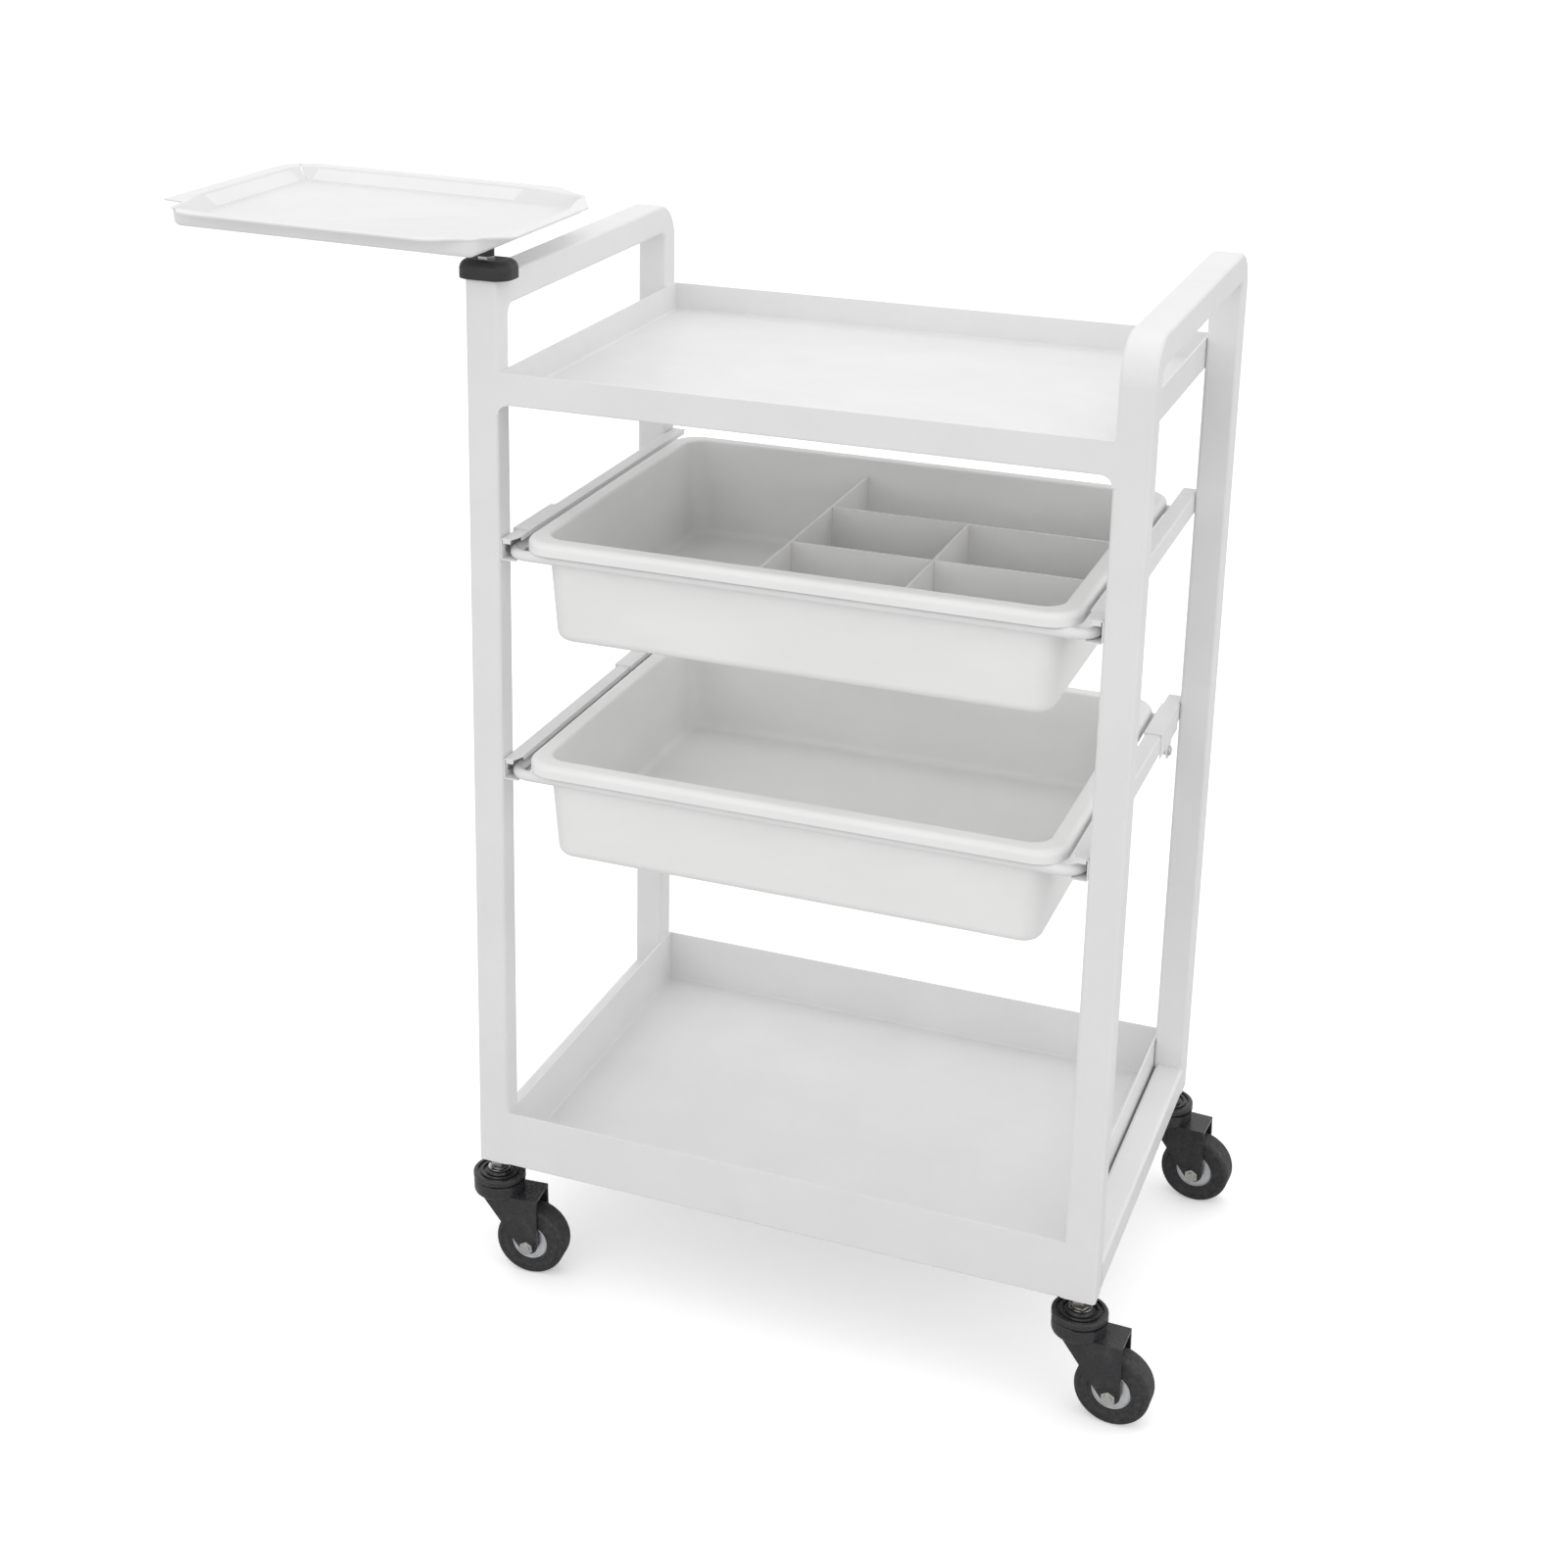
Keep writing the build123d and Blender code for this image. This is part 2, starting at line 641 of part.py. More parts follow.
def main():
    os.makedirs("parts", exist_ok=True)
    export_piece("side_frame_left", side_frame_with_stud_hole())
    export_piece("side_frame_right", side_frame(handle_corner))
    export_piece("lower_side_rail_left", on_left(lower_side_rail()))
    export_piece("lower_side_rail_right", lower_side_rail())
    export_piece("top_tray", top_tray())
    export_piece("bottom_tray", fixed_tray(bottom_tray_z))
    export_piece("leg_plugs", leg_plugs())

    for name, level in runner_levels.items():
        export_piece(f"runner_{name}_left", on_left(runner(level)))
        export_piece(f"runner_{name}_right", runner(level))
        export_piece(f"carrier_{name}", carrier(level))
        export_piece(f"bin_{name}", storage_bin(level))
    for name in clip_front_y:
        clip = runner_clip(name)
        export_piece(f"runner_clip_{name}", on_left(clip) if name.endswith("left") else clip)
    export_piece("runner_rivets", runner_rivets())
    export_piece("clip_screws", clip_screws())
    export_piece("clip_nuts", clip_nuts())

    export_piece("main_divider", main_divider())
    export_piece("rear_cross_divider", rear_cross_divider())
    export_piece("front_cross_divider", front_cross_divider())
    export_piece("short_divider", short_divider())

    export_piece("swivel_cap", swivel_cap())
    export_piece("swivel_stud", swivel_stud())
    export_piece("stud_lock_nut", stud_lock_nut())
    export_piece("tray_boss", tray_boss())
    export_piece("instrument_tray", instrument_tray())

    caster_pieces = {
        "stem": caster_stem(),
        "race": caster_race(),
        "fork": caster_fork(),
        "tyre": caster_tyre(),
        "hub": caster_hub(),
        "axle_bolt": axle_bolt(),
        "axle_nut": axle_nut(),
    }
    for corner in caster_headings:
        for piece, shape in caster_pieces.items():
            export_piece(f"caster_{piece}_{corner}", place_caster(corner, shape))


main()
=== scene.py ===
import json
import math
from collections import namedtuple

import bpy
from mathutils import Euler, Matrix, Vector


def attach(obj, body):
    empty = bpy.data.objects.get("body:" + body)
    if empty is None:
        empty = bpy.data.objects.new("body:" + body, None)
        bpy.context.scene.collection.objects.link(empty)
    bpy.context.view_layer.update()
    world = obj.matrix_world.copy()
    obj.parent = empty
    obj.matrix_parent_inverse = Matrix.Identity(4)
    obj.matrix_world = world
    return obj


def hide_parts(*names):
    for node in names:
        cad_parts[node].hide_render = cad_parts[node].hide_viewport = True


# Rolling salon trolley: materials, softened edges, a pressed instrument tray, weld fills and
# caster details round the CAD frame, in a white studio. Metres; the trolley's front is at -Y.

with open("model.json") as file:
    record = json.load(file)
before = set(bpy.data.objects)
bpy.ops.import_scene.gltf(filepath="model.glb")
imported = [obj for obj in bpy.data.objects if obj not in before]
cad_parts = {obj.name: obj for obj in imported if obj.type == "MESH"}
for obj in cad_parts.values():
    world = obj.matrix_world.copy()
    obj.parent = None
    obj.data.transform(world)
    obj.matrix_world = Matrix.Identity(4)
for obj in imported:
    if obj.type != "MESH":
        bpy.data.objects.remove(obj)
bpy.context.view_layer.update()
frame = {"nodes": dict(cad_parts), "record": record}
nodes = frame["nodes"]

# ---------------------------------------------------------------- camera

camera_data = bpy.data.cameras.new("camera")
camera = bpy.data.objects.new("camera", camera_data)
bpy.context.scene.collection.objects.link(camera)
camera_data.sensor_width = 36.0
camera_data.lens = 56.67
camera_data.shift_x = 0.0764
camera_data.shift_y = -0.1812
camera_data.clip_start = 0.05
camera_data.clip_end = 50.0
camera.location = (0.64547, -1.70268, 1.18796)
turn = Euler((math.radians(72.827), 0.0, math.radians(22.371)), "XYZ").to_matrix()
roll = Matrix.Rotation(math.radians(0.4), 3, "Z")
camera.rotation_euler = (turn @ roll).to_euler("XYZ")
bpy.context.scene.camera = camera


# ---------------------------------------------------------------- material helpers


class Surface:
    """One procedural material: a Principled shader and the nodes that feed it."""

    def __init__(self, name, roughness=0.5, metallic=0.0, specular=0.5):
        self.material = bpy.data.materials.new(name)
        self.material.use_nodes = True
        self.tree = self.material.node_tree
        self.shader = self.tree.nodes["Principled BSDF"]
        self.shader.inputs["Roughness"].default_value = roughness
        self.shader.inputs["Metallic"].default_value = metallic
        self.shader.inputs["Specular IOR Level"].default_value = specular
        self.coords = self.add("ShaderNodeTexCoord").outputs["Object"]

    def add(self, kind, **settings):
        node = self.tree.nodes.new(kind)
        for key, value in settings.items():
            setattr(node, key, value)
        return node

    def link(self, output, socket):
        self.tree.links.new(output, socket)

    def noise(self, scale, detail=3.0, rough=0.5, stretch=None):
        """Noise over the surface; scale is in cells per metre."""
        vector = self.coords
        if stretch:
            mapping = self.add("ShaderNodeMapping")
            mapping.inputs["Scale"].default_value = stretch
            self.link(vector, mapping.inputs["Vector"])
            vector = mapping.outputs["Vector"]
        node = self.add("ShaderNodeTexNoise")
        node.inputs["Scale"].default_value = scale
        node.inputs["Detail"].default_value = detail
        node.inputs["Roughness"].default_value = rough
        self.link(vector, node.inputs["Vector"])
        return node.outputs["Fac"]

    def ramp(self, value, source, target):
        """The value, moved from the source range to the target range."""
        node = self.add("ShaderNodeMapRange")
        node.inputs["From Min"].default_value = source[0]
        node.inputs["From Max"].default_value = source[1]
        node.inputs["To Min"].default_value = target[0]
        node.inputs["To Max"].default_value = target[1]
        self.link(value, node.inputs["Value"])
        return node.outputs["Result"]

    def mix(self, factor, colour_a, colour_b):
        """Colour a where the factor is 0, colour b where it is 1; each a colour or a socket."""
        node = self.add("ShaderNodeMix", data_type="RGBA")
        self.link(factor, node.inputs["Factor"])
        for socket, colour in ((node.inputs[6], colour_a), (node.inputs[7], colour_b)):
            if isinstance(colour, tuple):
                socket.default_value = (*colour, 1.0)
            else:
                self.link(colour, socket)
        return node.outputs[2]

    def bump(self, height, distance, strength, below=None):
        node = self.add("ShaderNodeBump")
        node.inputs["Distance"].default_value = distance
        node.inputs["Strength"].default_value = strength
        self.link(height, node.inputs["Height"])
        if below is not None:
            self.link(below, node.inputs["Normal"])
        return node.outputs["Normal"]

    def colour(self, output):
        self.link(output, self.shader.inputs["Base Color"])

    def rough(self, output):
        self.link(output, self.shader.inputs["Roughness"])

    def normal(self, output):
        self.link(output, self.shader.inputs["Normal"])


def tone(colour, factor):
    return tuple(min(1.0, channel * factor) for channel in colour)


# ---------------------------------------------------------------- materials

middle = (0.3, 0.7)


def powder_coat(name, colour):
    """Satin powder coat: a fine orange peel, a faint tone change and slightly glossier patches."""
    coat = Surface(name)
    patches = coat.ramp(coat.noise(14.0, detail=4.0, rough=0.6), (0.35, 0.65), (0.0, 1.0))
    coat.colour(coat.mix(patches, tone(colour, 0.975), tone(colour, 1.01)))
    coat.rough(coat.ramp(coat.noise(60.0), middle, (0.3, 0.42)))
    peel = coat.bump(coat.noise(520.0, detail=2.0), distance=0.00012, strength=0.35)
    grain = coat.noise(1900.0, detail=1.0)
    coat.normal(coat.bump(grain, distance=0.00004, strength=0.3, below=peel))
    return coat.material


def moulded(name, colour, roughness, grain=2200.0, depth=0.00006):
    """Injection-moulded plastic: a fine spark-eroded grain and soft flow marks."""
    plastic = Surface(name)
    flow = plastic.ramp(plastic.noise(9.0, stretch=(1.0, 1.0, 2.5)), middle, (0.0, 1.0))
    plastic.colour(plastic.mix(flow, tone(colour, 0.97), tone(colour, 1.02)))
    handled = (roughness - 0.06, roughness + 0.08)
    plastic.rough(plastic.ramp(plastic.noise(45.0, detail=4.0), middle, handled))
    plastic.normal(plastic.bump(plastic.noise(grain, detail=2.0), distance=depth, strength=0.5))
    return plastic.material


def black_paint(name, colour):
    """Thick black paint on pressed steel: glossy, slightly pitted, dusty."""
    paint = Surface(name)
    dust = paint.ramp(paint.noise(120.0, detail=6.0, rough=0.7), (0.52, 0.75), (0.0, 1.0))
    paint.colour(paint.mix(dust, colour, tone(colour, 2.1)))
    paint.rough(paint.ramp(paint.noise(300.0), middle, (0.2, 0.38)))
    coarse = paint.bump(paint.noise(350.0), distance=0.00025, strength=0.4)
    pits = paint.noise(1500.0, detail=2.0)
    paint.normal(paint.bump(pits, distance=0.00008, strength=0.4, below=coarse))
    return paint.material


def rubber(name, colour):
    """Grey-black rubber with pale scuffs and a fine pebble."""
    tread = Surface(name, specular=0.35)
    scuffs = tread.ramp(tread.noise(260.0, detail=8.0, rough=0.75), (0.45, 0.8), (0.0, 1.0))
    tread.colour(tread.mix(scuffs, colour, tone(colour, 2.6)))
    tread.rough(tread.ramp(tread.noise(150.0), middle, (0.5, 0.72)))
    pebble = tread.noise(900.0, detail=4.0, rough=0.6)
    tread.normal(tread.bump(pebble, distance=0.0002, strength=0.5))
    return tread.material


def zinc(name, colour, roughness):
    """Bright zinc plate: a faint cloudy bloom and fine scratches."""
    plate = Surface(name, metallic=1.0)
    bloom = plate.ramp(plate.noise(170.0, detail=5.0, rough=0.65), (0.35, 0.7), (0.0, 1.0))
    plate.colour(plate.mix(bloom, tone(colour, 0.92), tone(colour, 1.06)))
    worn = (roughness - 0.05, roughness + 0.08)
    plate.rough(plate.ramp(plate.noise(420.0), middle, worn))
    scratches = plate.noise(2400.0, detail=2.0, stretch=(1.0, 1.0, 0.15))
    plate.normal(plate.bump(scratches, distance=0.00003, strength=0.5))
    return plate.material


white_coat = powder_coat("white_coat", (0.83, 0.83, 0.833))
bin_plastic = moulded("bin_plastic_surface", (0.895, 0.895, 0.888), roughness=0.42)
divider_plastic = moulded("divider_plastic_surface", (0.88, 0.878, 0.86), roughness=0.5)
black_plastic = moulded("black_plastic_surface", (0.022, 0.022, 0.024), 0.46, grain=900.0, depth=0.00018)
black_steel = black_paint("black_steel_surface", (0.024, 0.024, 0.026))
tyre_rubber = rubber("tyre_rubber_surface", (0.033, 0.033, 0.034))
hub_metal = zinc("hub_surface", (0.74, 0.75, 0.77), roughness=0.34)
zinc_plate = zinc("zinc_surface", (0.6, 0.59, 0.57), roughness=0.2)

surfaces = {
    "white_powder_coat": white_coat,
    "bin_plastic": bin_plastic,
    "divider_plastic": divider_plastic,
    "black_plastic": black_plastic,
    "black_painted_steel": black_steel,
    "black_rubber": tyre_rubber,
    "grey_hub_plastic": hub_metal,
    "zinc_plated_steel": zinc_plate,
}


def paint_cad_pieces():
    """Give every CAD piece the surface of its slot in the record."""
    for part in frame["record"]["subparts"]:
        piece = nodes[part["node"]]
        surface = surfaces[part["material_slot"]]
        if not piece.material_slots:
            piece.data.materials.append(surface)
        for slot in piece.material_slots:
            slot.material = surface


paint_cad_pieces()

# ---------------------------------------------------------------- shape helpers

up = Vector((0.0, 0.0, 1.0))


def cad_box(name):
    """Low and high corners of one CAD piece."""
    piece = nodes[name]
    corners = [piece.matrix_world @ Vector(corner) for corner in piece.bound_box]
    low = Vector(min(corner[axis] for corner in corners) for axis in range(3))
    high = Vector(max(corner[axis] for corner in corners) for axis in range(3))
    return low, high


def cad_middle(name):
    low, high = cad_box(name)
    return (low + high) / 2


def round_edges(piece, width, angle=35.0):
    """Round the edges sharper than an angle a little, so that they catch the light."""
    bevel = piece.modifiers.new("edge_round", "BEVEL")
    bevel.width = width
    bevel.segments = 2
    bevel.limit_method = "ANGLE"
    bevel.angle_limit = math.radians(angle)
    bevel.harden_normals = True


def add_piece(name, mesh):
    piece = bpy.data.objects.new(name, mesh)
    bpy.context.scene.collection.objects.link(piece)
    return piece


def build_piece(name, points, faces, smooth=True):
    mesh = bpy.data.meshes.new(name)
    mesh.from_pydata(points, [], faces)
    mesh.validate()
    for face in mesh.polygons:
        face.use_smooth = smooth
    return add_piece(name, mesh)


def arc(middle_x, middle_y, radius, start, end, steps):
    """Points on an arc between two angles in degrees, both ends included."""
    points = []
    for step in range(steps + 1):
        angle = math.radians(start + (end - start) * step / steps)
        points.append((middle_x + radius * math.cos(angle), middle_y + radius * math.sin(angle)))
    return points


def turned_ring(profile, centre, axis, steps):
    """Points and faces of a closed profile turned about an axis; radius and distance along it."""
    across = Vector((1.0, 0.0, 0.0)) if axis == up else Vector((-axis.y, axis.x, 0.0))
    beside = axis.cross(across)
    count = len(profile)
    points = []
    faces = []
    for step in range(steps):
        angle = 2.0 * math.pi * step / steps
        spoke = across * math.cos(angle) + beside * math.sin(angle)
        points.extend(tuple(centre + spoke * radius + axis * along) for radius, along in profile)
        here = step * count
        after = (step + 1) % steps * count
        for first in range(count):
            second = (first + 1) % count
            faces.append((here + first, here + second, after + second, after + first))
    return points, faces


# ---------------------------------------------------------------- softened edges

edge_rounds = {
    "top_tray": 0.0006,
    "bottom_tray": 0.0006,
    "lower_side_rail": 0.0005,
    "runner_upper": 0.0004,
    "runner_lower": 0.0004,
    "runner_clip": 0.0003,
    "main_divider": 0.0005,
    "rear_cross_divider": 0.0005,
    "front_cross_divider": 0.0005,
    "short_divider": 0.0005,
    "caster_axle_nut": 0.0004,
    "caster_axle_bolt": 0.0003,
    "stud_lock_nut": 0.0004,
}
for name in nodes:
    for start, width in edge_rounds.items():
        if name.startswith(start):
            round_edges(nodes[name], width)

# ---------------------------------------------------------------- instrument tray

# Flare and reach are distances outward from the foot of the wall: flare to the top of the wall,
# reach to the edge of the flange. At every corner but the rear left the wall stands upright and
# the flange narrows to a lip; at the rear left both are full and the sheet is slit.
tray_sheet = 0.0012
tray_corner = 0.006
tray_flare = 0.0118
tray_reach = 0.0234
front_shortening = 0.006
corner_flare = 0.0006
corner_reach = 0.0034
least_flange = 0.0026
edge_dip = 0.0001
floor_bend = 0.0035
rim_bend = 0.0022
bend_steps = 5
side_steps = 48
corner_steps = 24
tray_droop = math.tan(math.radians(1.0))

# The front wall leans out less than the others.
front_lean = 0.6
# Distances from a corner at which a wall has its full lean.
front_left_lean = 0.05
front_right_lean = 0.07
rear_right_lean = 0.06
left_front_lean = 0.06
# Distances from a corner at which the flange has its full width: each end is rounded, eased or
# cut across, and the left side's is square.
front_left_round = 0.02
front_right_ease = 0.026
right_front_ease = 0.02
right_rear_cut = 0.036
rear_right_cut = 0.026
left_front_end = 0.016

Rim = namedtuple("Rim", "point normal flare reach slit")


def clamp(value):
    return max(0.0, min(1.0, value))


def ease(value):
    value = clamp(value)
    return value * value * (3.0 - 2.0 * value)


def round_end(value):
    return math.sqrt(1.0 - (1.0 - clamp(value)) ** 2)


def side_rim(side, from_start, to_end):
    """Flare and reach along a straight side, at a distance from each of its ends."""
    reach = tray_reach
    if side == "front":
        reach -= front_shortening
        lean = front_lean * min(ease(from_start / front_left_lean), ease(to_end / front_right_lean))
        width = min(round_end(from_start / front_left_round), ease(to_end / front_right_ease))
    elif side == "right":
        lean = min(ease(from_start / front_right_lean), ease(to_end / rear_right_lean))
        width = min(ease(from_start / right_front_ease), to_end / right_rear_cut)
    elif side == "rear":
        lean = ease(from_start / rear_right_lean)
        width = from_start / rear_right_cut
    else:
        lean = ease(to_end / left_front_lean)
        width = 1.0 if to_end > left_front_end else 0.0
    flare = corner_flare + tray_flare * lean
    return flare, max(flare + least_flange, corner_reach + (reach - corner_reach) * clamp(width))


def tray_outline(low, high):
    """The rim's places round the floor, from the front left corner by the right and the rear."""
    left, right = low[0] + tray_corner, high[0] - tray_corner
    front, rear = low[1] + tray_corner, high[1] - tray_corner
    centres = [Vector(place) for place in ((right, front), (right, rear), (left, rear), (left, front))]
    places = []
    for index, side in enumerate(("front", "right", "rear", "left")):
        before, centre = centres[index - 1], centres[index]
        start = 90.0 * (index - 1)
        normal = Vector((math.cos(math.radians(start)), math.sin(math.radians(start))))
        length = (centre - before).length
        for step in range(1, side_steps):
            part = step / side_steps
            point = before + (centre - before) * part + normal * tray_corner
            flare, reach = side_rim(side, length * part, length * (1.0 - part))
            places.append(Rim(point, normal, flare, reach, slit=False))
        for step in range(corner_steps + 1):
            angle = math.radians(start + 90.0 * step / corner_steps)
            normal = Vector((math.cos(angle), math.sin(angle)))
            point = centre + normal * tray_corner
            if side == "rear":
                slit = step == corner_steps // 2
                places.append(Rim(point, normal, tray_flare, tray_reach, slit))
            else:
                places.append(Rim(point, normal, corner_flare, corner_reach, slit=False))
    return places


def tray_section(rim, floor_z, rim_z):
    """Outward distance and height of the sheet's top face, from the floor to the flange's edge."""
    section = arc(-floor_bend, floor_z + floor_bend, floor_bend, -90.0, 0.0, bend_steps)
    crease = min(rim_bend, (rim.reach - rim.flare) * 0.8)
    bend_end = rim.flare + crease
    section += arc(bend_end, rim_z - crease, crease, 180.0, 90.0, bend_steps)
    section.append(((bend_end + rim.reach) / 2, rim_z))
    section.append((rim.reach, rim_z - edge_dip))
    return section


def instrument_tray():
    """Pressed sheet pan: flared walls, a flat flange on each side, narrow at three corners."""
    old_low, old_high = cad_box("instrument_tray")
    low = (old_low.x + tray_reach, old_low.y + tray_reach - front_shortening)
    high = (old_high.x - tray_reach, old_high.y - tray_reach)
    stud_x = cad_middle("swivel_stud").x
    places = tray_outline(low, high)
    points = []
    for place in places:
        section = tray_section(place, old_low.z + tray_sheet, old_high.z)
        for out, height in section:
            spot = place.point + place.normal * out
            points.append((spot.x, spot.y, height + (stud_x - spot.x) * tray_droop))
    count = len(points) // len(places)
    faces = []
    for index, place in enumerate(places):
        here = index * count
        after = (index + 1) % len(places) * count
        for ring in range(bend_steps if place.slit else count - 1):
            faces.append((here + ring, here + ring + 1, after + ring + 1, after + ring))
    faces.append(tuple(range(0, len(points), count)))
    pan = build_piece("tray_pan", points, faces)
    skin = pan.modifiers.new("sheet", "SOLIDIFY")
    skin.thickness = tray_sheet
    skin.offset = -1.0
    skin.use_even_offset = False
    round_edges(pan, 0.0003, angle=50.0)
    pan.data.materials.append(white_coat)
    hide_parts("instrument_tray")
    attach(pan, "side_tray")


instrument_tray()

# ---------------------------------------------------------------- weld fills

weld_width = 0.0039
weld_depth = 0.003
weld_overlap = 0.0005
flush_gap = 0.00002
end_gap = 0.0002
box_faces = ((0, 1, 5, 4), (1, 2, 6, 5), (2, 3, 7, 6), (3, 0, 4, 7), (3, 2, 1, 0), (4, 5, 6, 7))


def weld_fill(left, face_y, inward, low_z, high_z):
    """Points of one fill, set just behind the face of the apron; inward is +1 or -1 along Y."""
    right = left + weld_width
    near = face_y + inward * flush_gap
    far = face_y + inward * weld_depth
    plan = ((left, near), (right, near), (right, far), (left, far))
    return [(x, y, z) for z in (low_z, high_z) for x, y in plan]


def weld_fills():
    """Ground-flush weld in the groove between each tray's apron and each leg, back and front."""
    points = []
    faces = []
    for tray in ("top_tray", "bottom_tray"):
        low, high = cad_box(tray)
        z_span = (low.z + end_gap, high.z - end_gap / 2)
        for left in (low.x + weld_overlap - weld_width, high.x - weld_overlap):
            for face_y, inward in ((low.y, 1.0), (high.y, -1.0)):
                faces.extend(tuple(len(points) + corner for corner in face) for face in box_faces)
                points.extend(weld_fill(left, face_y, inward, *z_span))
    fills = build_piece("weld_fills", points, faces, smooth=False)
    fills.data.materials.append(white_coat)
    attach(fills, "trolley")


weld_fills()

# ---------------------------------------------------------------- casters

cup_radius = 0.0206
cup_inner_radius = 0.0166
cup_mouth_radius = 0.0185
cup_shoulder = 0.0014
cup_foot = 0.004
cup_drop = 0.0086
cup_height = 0.0115
race_gap = 0.0004
plate_limit = 0.0187
cup_steps = 64
ring_steps = 72
tyre_side = 0.0105
tyre_rings = ((0.0242, 0.00035), (0.0178, 0.0003))
hub_side = 0.0096
hub_ring = (0.0141, 0.0006)
wheel_sides = (("near", -1.0), ("far", 1.0))


def caster_axis(corner):
    """Level direction of one caster's axle, from the nut's side to the bolt's head."""
    axle = cad_middle(f"caster_hub_{corner}") - cad_middle(f"caster_axle_nut_{corner}")
    axle.z = 0.0
    return axle.normalized()


def pressed_fork(corner):
    """The fork with the front corners of its top plate drawn in under the round cup."""
    source = nodes[f"caster_fork_{corner}"]
    centre = cad_middle(f"caster_race_{corner}").to_2d()
    wheel = cad_middle(f"caster_hub_{corner}").to_2d() - centre
    mesh = source.data.copy()
    mesh.name = f"pressed_fork_{corner}"
    to_world = source.matrix_world.copy()
    to_local = to_world.inverted()
    for vertex in mesh.vertices:
        place = to_world @ vertex.co
        out = place.to_2d() - centre
        if out.dot(wheel) < 0.0 and out.length > plate_limit:
            drawn = centre + out.normalized() * plate_limit
            vertex.co = to_local @ Vector((drawn.x, drawn.y, place.z))
    fork = add_piece(f"pressed_fork_{corner}", mesh)
    fork.matrix_world = to_world
    round_edges(fork, 0.0006)
    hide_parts(f"caster_fork_{corner}")
    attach(fork, f"caster_{corner}")


def swivel_cup(corner):
    """Pressed lower ball cup of one caster, wrapped round the top of its fork."""
    race_low, race_high = cad_box(f"caster_race_{corner}")
    top = race_low.z - race_gap
    profile = [(cup_inner_radius, top - cup_height)]
    profile += arc(cup_radius - cup_foot, top - cup_drop, cup_foot, -90.0, 0.0, 5)
    profile += arc(cup_radius - cup_shoulder, top - cup_shoulder, cup_shoulder, 0.0, 90.0, 4)
    profile.append((cup_mouth_radius, top))
    centre = Vector(((race_low.x + race_high.x) / 2, (race_low.y + race_high.y) / 2, 0.0))
    cup = build_piece(f"swivel_cup_{corner}", *turned_ring(profile, centre, up, cup_steps))
    cup.data.materials.append(black_steel)
    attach(cup, f"caster_{corner}")


def wheel_ring(corner, name, radius, along, thick):
    """Round bead about a caster's axle, on the side of its wheel."""
    bead = arc(radius, along, thick, 0.0, 300.0, 5)
    centre = cad_middle(f"caster_hub_{corner}")
    ring = build_piece(f"{name}_{corner}", *turned_ring(bead, centre, caster_axis(corner), ring_steps))
    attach(ring, f"wheel_{corner}")
    return ring


def wheel_rings(corner):
    """Moulded ring lines on both side walls of the tyre, and the hub's rolled edges."""
    for number, (radius, thick) in enumerate(tyre_rings):
        for face, sign in wheel_sides:
            name = f"tyre_ring_{number + 1}_{face}"
            ring = wheel_ring(corner, name, radius, sign * tyre_side, thick)
            ring.data.materials.append(tyre_rubber)
    radius, thick = hub_ring
    for face, sign in wheel_sides:
        ring = wheel_ring(corner, f"hub_ring_{face}", radius, sign * hub_side, thick)
        ring.data.materials.append(hub_metal)


for corner in ("front_left", "front_right", "rear_left", "rear_right"):
    pressed_fork(corner)
    swivel_cup(corner)
    wheel_rings(corner)

# ---------------------------------------------------------------- studio

white = (1.0, 1.0, 1.0, 1.0)
trolley_middle = (0.0, 0.0, 0.5)


def area_light(name, location, target, size, power):
    data = bpy.data.lights.new(name, "AREA")
    data.shape = "RECTANGLE"
    data.size, data.size_y = size
    data.energy = power
    light = bpy.data.objects.new(name, data)
    bpy.context.scene.collection.objects.link(light)
    light.location = location
    light.rotation_euler = (Vector(target) - Vector(location)).to_track_quat("-Z", "Y").to_euler()


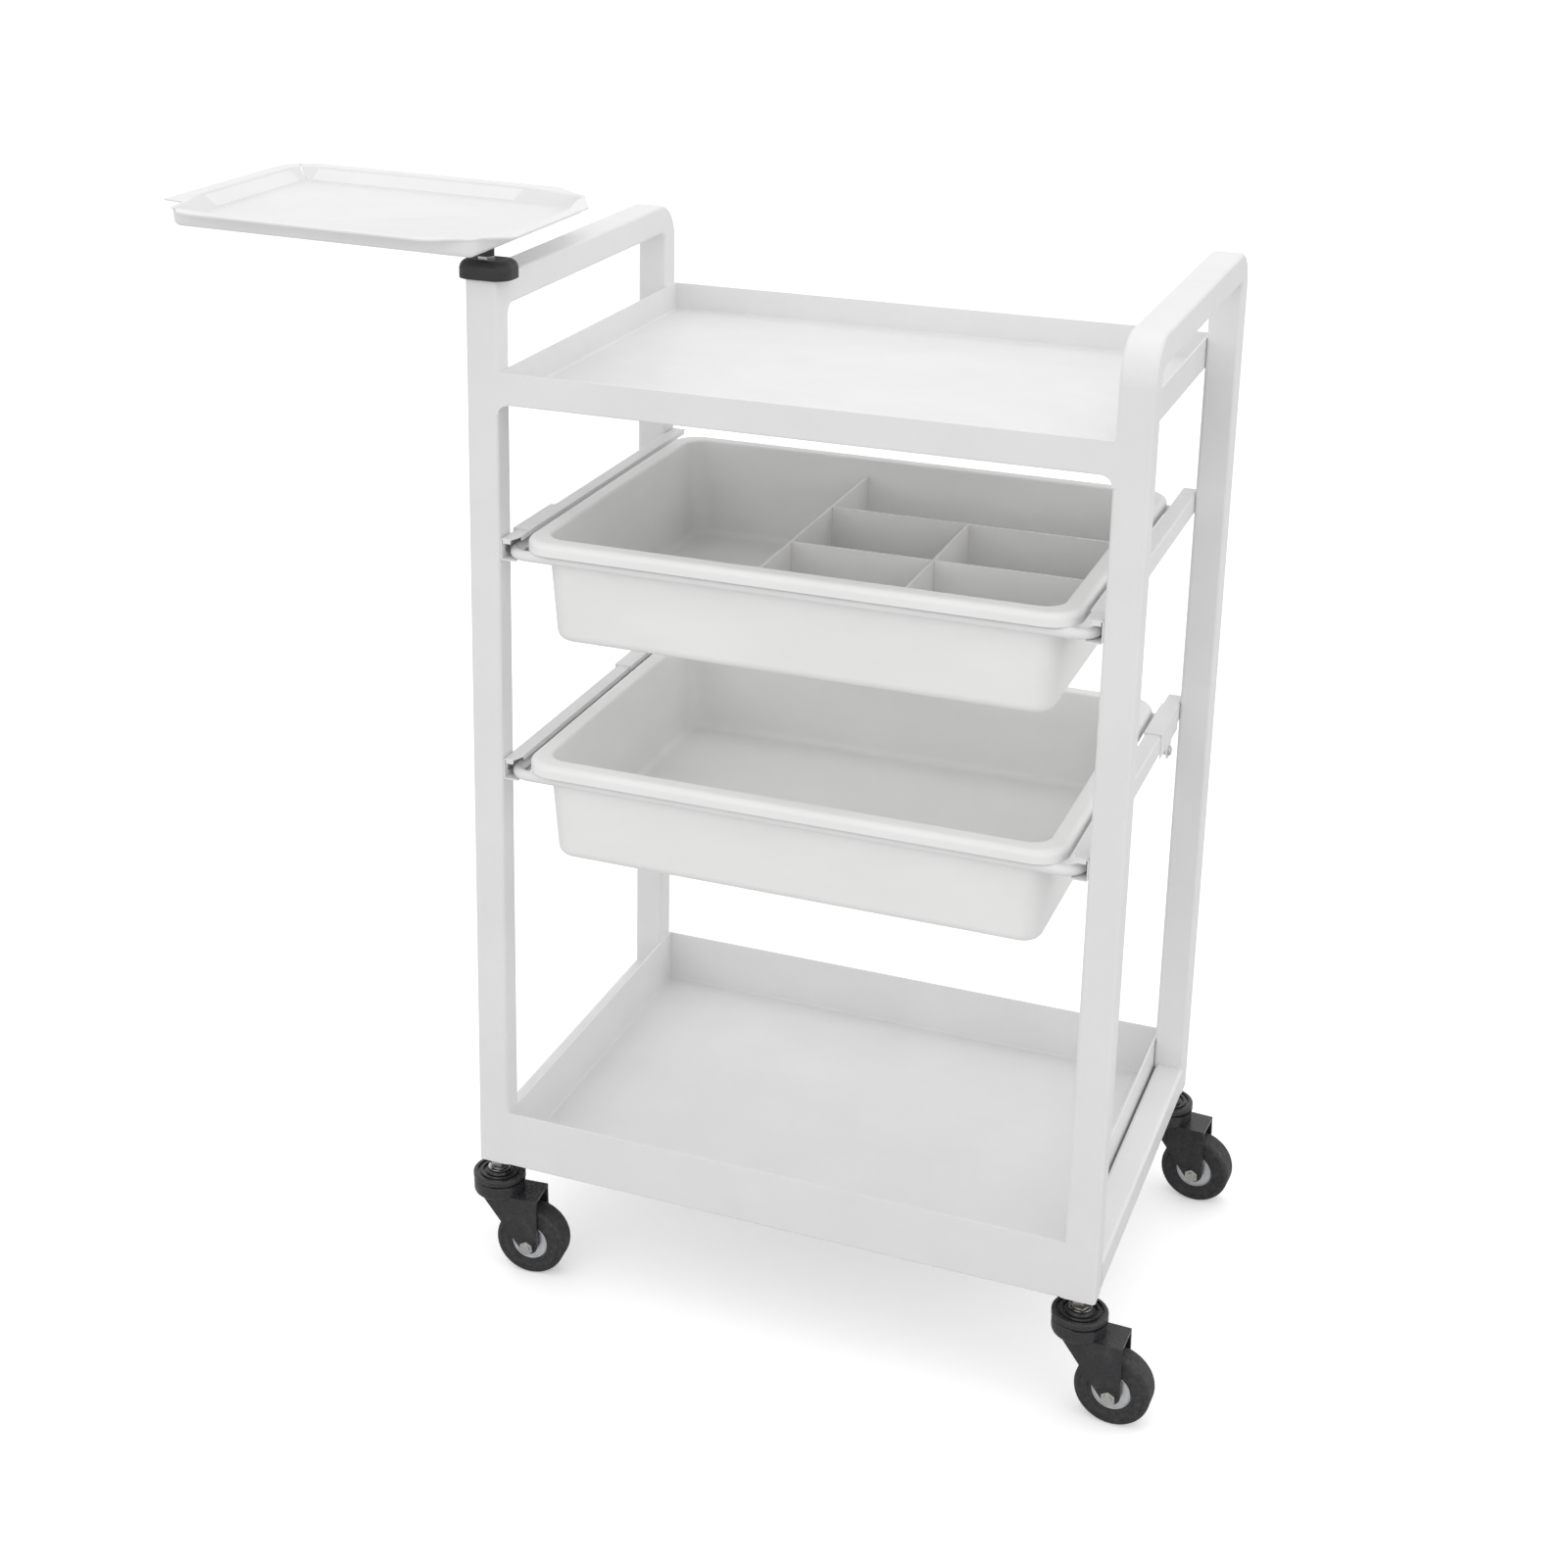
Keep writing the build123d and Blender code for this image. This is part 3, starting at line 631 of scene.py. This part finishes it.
def surround():
    """Even white light from all round, seen by the camera as pure white."""
    world = bpy.data.worlds.new("surround")
    bpy.context.scene.world = world
    world.use_nodes = True
    tree = world.node_tree
    lighting = tree.nodes["Background"]
    lighting.inputs["Color"].default_value = white
    lighting.inputs["Strength"].default_value = 0.95
    backdrop = tree.nodes.new("ShaderNodeBackground")
    backdrop.inputs["Color"].default_value = white
    backdrop.inputs["Strength"].default_value = 1.02
    seen = tree.nodes.new("ShaderNodeLightPath")
    choice = tree.nodes.new("ShaderNodeMixShader")
    tree.links.new(seen.outputs["Is Camera Ray"], choice.inputs[0])
    tree.links.new(lighting.outputs[0], choice.inputs[1])
    tree.links.new(backdrop.outputs[0], choice.inputs[2])
    tree.links.new(choice.outputs[0], tree.nodes["World Output"].inputs["Surface"])


def studio_floor():
    """White paper; to the camera it glows a little, so that the shadows stay light."""
    bpy.ops.mesh.primitive_plane_add(size=30.0, location=(0.0, 0.0, 0.0))
    floor = bpy.context.object
    floor.name = "floor"
    paper = Surface("floor_paper", specular=0.1)
    seen = paper.add("ShaderNodeLightPath").outputs["Is Camera Ray"]
    fibres = paper.mix(paper.noise(3.0, detail=2.0), (0.95, 0.95, 0.95), (0.96, 0.96, 0.96))
    paper.colour(paper.mix(seen, (0.66, 0.66, 0.66), fibres))
    paper.rough(paper.ramp(paper.noise(40.0, detail=2.0), middle, (0.85, 0.95)))
    paper.normal(paper.bump(paper.noise(900.0, detail=2.0), distance=0.00005, strength=0.2))
    paper.shader.inputs["Emission Color"].default_value = white
    glow = paper.ramp(seen, (0.0, 1.0), (0.0, 0.32))
    paper.link(glow, paper.shader.inputs["Emission Strength"])
    floor.data.materials.append(paper.material)


surround()
studio_floor()
area_light("top_box", (0.1, 0.3, 3.2), (0.1, 0.0, 0.3), size=(2.6, 2.6), power=9.0)
area_light("front_box", (-0.9, -2.9, 1.5), trolley_middle, size=(2.0, 1.4), power=6.0)
area_light("right_box", (2.8, -0.6, 1.4), trolley_middle, size=(1.6, 1.4), power=4.0)
bpy.context.scene.view_settings.view_transform = "Standard"
